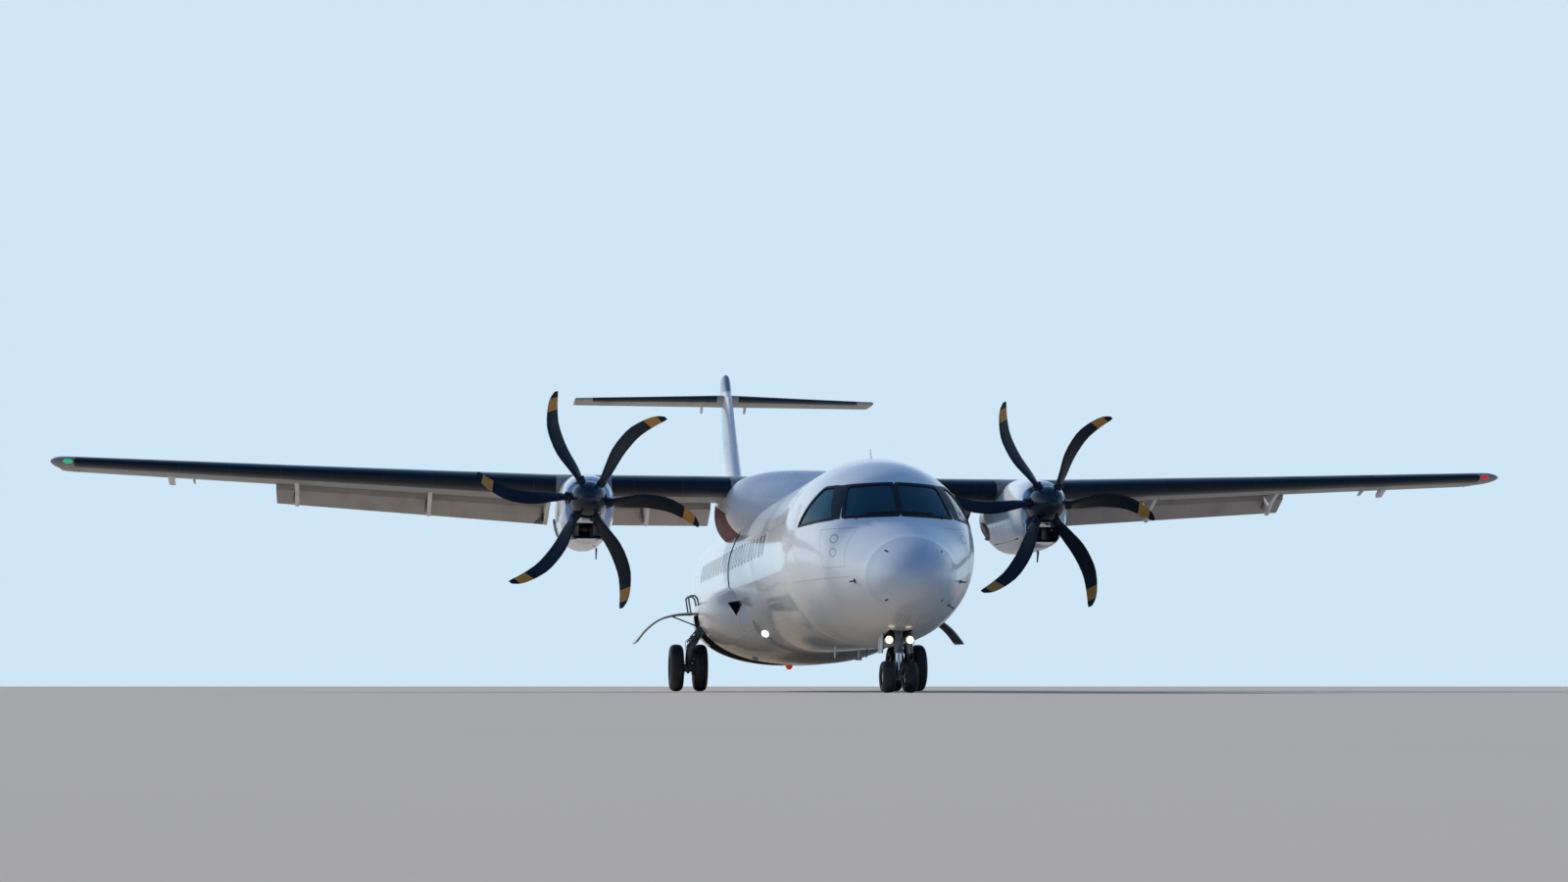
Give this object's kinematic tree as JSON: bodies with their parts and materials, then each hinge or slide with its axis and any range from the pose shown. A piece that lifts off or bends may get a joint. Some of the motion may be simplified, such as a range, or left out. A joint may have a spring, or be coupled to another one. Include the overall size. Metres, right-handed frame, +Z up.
{
  "type": "turboprop airliner",
  "caption": "High-wing regional airliner with turboprop engines and a T-tail, standing on its wheels with flaps lowered.",
  "frame": {"origin": "the floor under the middle of the aircraft's outline", "axes": "-Y forward to the nose, +X to the aircraft's left wing tip, +Z up"},
  "size_m": [27.05, 27.166, 7.65],
  "materials": {
    "fuselage_paint": "gloss",
    "radome_composite": "satin",
    "fairing_composite": "gloss",
    "cockpit_glass": "clear",
    "cabin_plastic": "matte",
    "wing_paint": "satin",
    "tail_composite": "gloss",
    "nacelle_composite": "gloss",
    "engine_metal": "rough",
    "exhaust_steel": "heat stained",
    "blade_composite": "satin",
    "spinner_composite": "gloss",
    "gear_steel": "satin",
    "wheel_rim": "satin",
    "tyre": "matte"
  },
  "bodies": {
    "airframe": {"cockpit_shell": "fuselage_paint", "fuselage_front": "fuselage_paint", "fuselage_centre": "fuselage_paint", "fuselage_rear": "fuselage_paint", "tail_cone": "fuselage_paint", "service_door": "fuselage_paint", "radome": "radome_composite", "belly_fairing": "fairing_composite", "wing_root_fairing": "fairing_composite", "nose_gear_door_left": "fairing_composite", "nose_gear_door_right": "fairing_composite", "main_gear_door_left": "fairing_composite", "main_gear_door_right": "fairing_composite", "cockpit_glazing": "cockpit_glass", "flight_deck": "cabin_plastic", "wing_centre": "wing_paint", "wing_outer_left": "wing_paint", "wing_outer_right": "wing_paint", "fin": "tail_composite", "fin_cap": "tail_composite", "tailplane": "tail_composite", "nacelle_left": "nacelle_composite", "nacelle_right": "nacelle_composite", "engine_left": "engine_metal", "engine_right": "engine_metal", "exhaust_left": "exhaust_steel", "exhaust_right": "exhaust_steel", "nose_leg": "gear_steel", "main_leg_left": "gear_steel", "main_leg_right": "gear_steel"},
    "flap_inner_left": {"flap_inner_left": "wing_paint"},
    "flap_outer_left": {"flap_outer_left": "wing_paint"},
    "aileron_left": {"aileron_left": "wing_paint"},
    "elevator_left": {"elevator_left": "tail_composite"},
    "propeller_left": {"propeller_left": "blade_composite", "spinner_left": "spinner_composite"},
    "main_wheels_left": {"main_wheel_hub_left": "wheel_rim", "main_wheel_tyre_left_inner": "tyre", "main_wheel_tyre_left_outer": "tyre"},
    "flap_inner_right": {"flap_inner_right": "wing_paint"},
    "flap_outer_right": {"flap_outer_right": "wing_paint"},
    "aileron_right": {"aileron_right": "wing_paint"},
    "elevator_right": {"elevator_right": "tail_composite"},
    "propeller_right": {"propeller_right": "blade_composite", "spinner_right": "spinner_composite"},
    "main_wheels_right": {"main_wheel_hub_right": "wheel_rim", "main_wheel_tyre_right_inner": "tyre", "main_wheel_tyre_right_outer": "tyre"},
    "rudder": {"rudder": "tail_composite"},
    "nose_steering": {"nose_steering": "gear_steel"},
    "nose_wheels": {"nose_wheel_hub": "wheel_rim", "nose_wheel_tyre_left": "tyre", "nose_wheel_tyre_right": "tyre"},
    "passenger_door": {"passenger_door": "fuselage_paint"},
    "cargo_door": {"cargo_door": "fuselage_paint"}
  },
  "joints": [
    {"name": "flap_inner_left_hinge", "type": "hinge", "parent": "airframe", "child": "flap_inner_left", "pos_m": [2.82, -0.37034, 3.20058], "axis": [1, 0, 0], "range_deg": [0, 30]},
    {"name": "flap_inner_right_hinge", "type": "hinge", "parent": "airframe", "child": "flap_inner_right", "pos_m": [-2.82, -0.37034, 3.20058], "axis": [1, 0, 0], "range_deg": [0, 30]},
    {"name": "flap_outer_left_hinge", "type": "hinge", "parent": "airframe", "child": "flap_outer_left", "pos_m": [6.86, -0.42008, 3.34748], "axis": [0.9977, -0.022, 0.0648], "range_deg": [0, 30]},
    {"name": "flap_outer_right_hinge", "type": "hinge", "parent": "airframe", "child": "flap_outer_right", "pos_m": [-6.86, -0.42008, 3.34748], "axis": [0.9977, 0.022, -0.0648], "range_deg": [0, 30]},
    {"name": "aileron_left_hinge", "type": "hinge", "parent": "airframe", "child": "aileron_left", "pos_m": [11.465, -0.47332, 3.98337], "axis": [0.9987, -0.0249, 0.0446], "range_deg": [-14, 14]},
    {"name": "aileron_right_hinge", "type": "hinge", "parent": "airframe", "child": "aileron_right", "pos_m": [-11.465, -0.47332, 3.98337], "axis": [0.9987, 0.0249, -0.0446], "range_deg": [-14, 14]},
    {"name": "elevator_left_hinge", "type": "hinge", "parent": "airframe", "child": "elevator_left", "pos_m": [1.9, 13.003, 7], "axis": [1, 0, 0], "range_deg": [-13, 23]},
    {"name": "elevator_right_hinge", "type": "hinge", "parent": "airframe", "child": "elevator_right", "pos_m": [-1.9, 13.003, 7], "axis": [1, 0, 0], "range_deg": [-13, 23]},
    {"name": "rudder_hinge", "type": "hinge", "parent": "airframe", "child": "rudder", "pos_m": [0, 11.6432, 5], "axis": [0, 0.3872, 0.922], "range_deg": [-27, 27]},
    {"name": "propeller_left_spin", "type": "hinge", "parent": "airframe", "child": "propeller_left", "pos_m": [4.05, -3.983, 3.3], "axis": [0, 1, 0], "continuous": true},
    {"name": "propeller_right_spin", "type": "hinge", "parent": "airframe", "child": "propeller_right", "pos_m": [-4.05, -3.983, 3.3], "axis": [0, 1, 0], "continuous": true},
    {"name": "nose_steering_swivel", "type": "hinge", "parent": "airframe", "child": "nose_steering", "pos_m": [0, -11.703, 0.59], "axis": [0, 0, 1], "range_deg": [-60, 60]},
    {"name": "nose_wheel_spin", "type": "hinge", "parent": "nose_steering", "child": "nose_wheels", "pos_m": [0, -11.703, 0.225], "axis": [1, 0, 0], "continuous": true},
    {"name": "main_wheel_left_spin", "type": "hinge", "parent": "airframe", "child": "main_wheels_left", "pos_m": [2.05, -0.933, 0.432], "axis": [1, 0, 0], "continuous": true},
    {"name": "main_wheel_right_spin", "type": "hinge", "parent": "airframe", "child": "main_wheels_right", "pos_m": [-2.05, -0.933, 0.432], "axis": [1, 0, 0], "continuous": true},
    {"name": "passenger_door_hinge", "type": "hinge", "parent": "airframe", "child": "passenger_door", "pos_m": [1.042, 4.627, 1.106], "axis": [0, 1, 0], "range_deg": [0, 115]},
    {"name": "cargo_door_hinge", "type": "hinge", "parent": "airframe", "child": "cargo_door", "pos_m": [1.332, -8.7455, 2.694], "axis": [0, -1, 0], "range_deg": [0, 100]}
  ],
  "couplings": [
    {"joint": "flap_inner_right_hinge", "follows": "flap_inner_left_hinge", "ratio": 1},
    {"joint": "flap_outer_left_hinge", "follows": "flap_inner_left_hinge", "ratio": 1},
    {"joint": "flap_outer_right_hinge", "follows": "flap_inner_left_hinge", "ratio": 1},
    {"joint": "aileron_right_hinge", "follows": "aileron_left_hinge", "ratio": -1},
    {"joint": "elevator_right_hinge", "follows": "elevator_left_hinge", "ratio": 1}
  ]
}
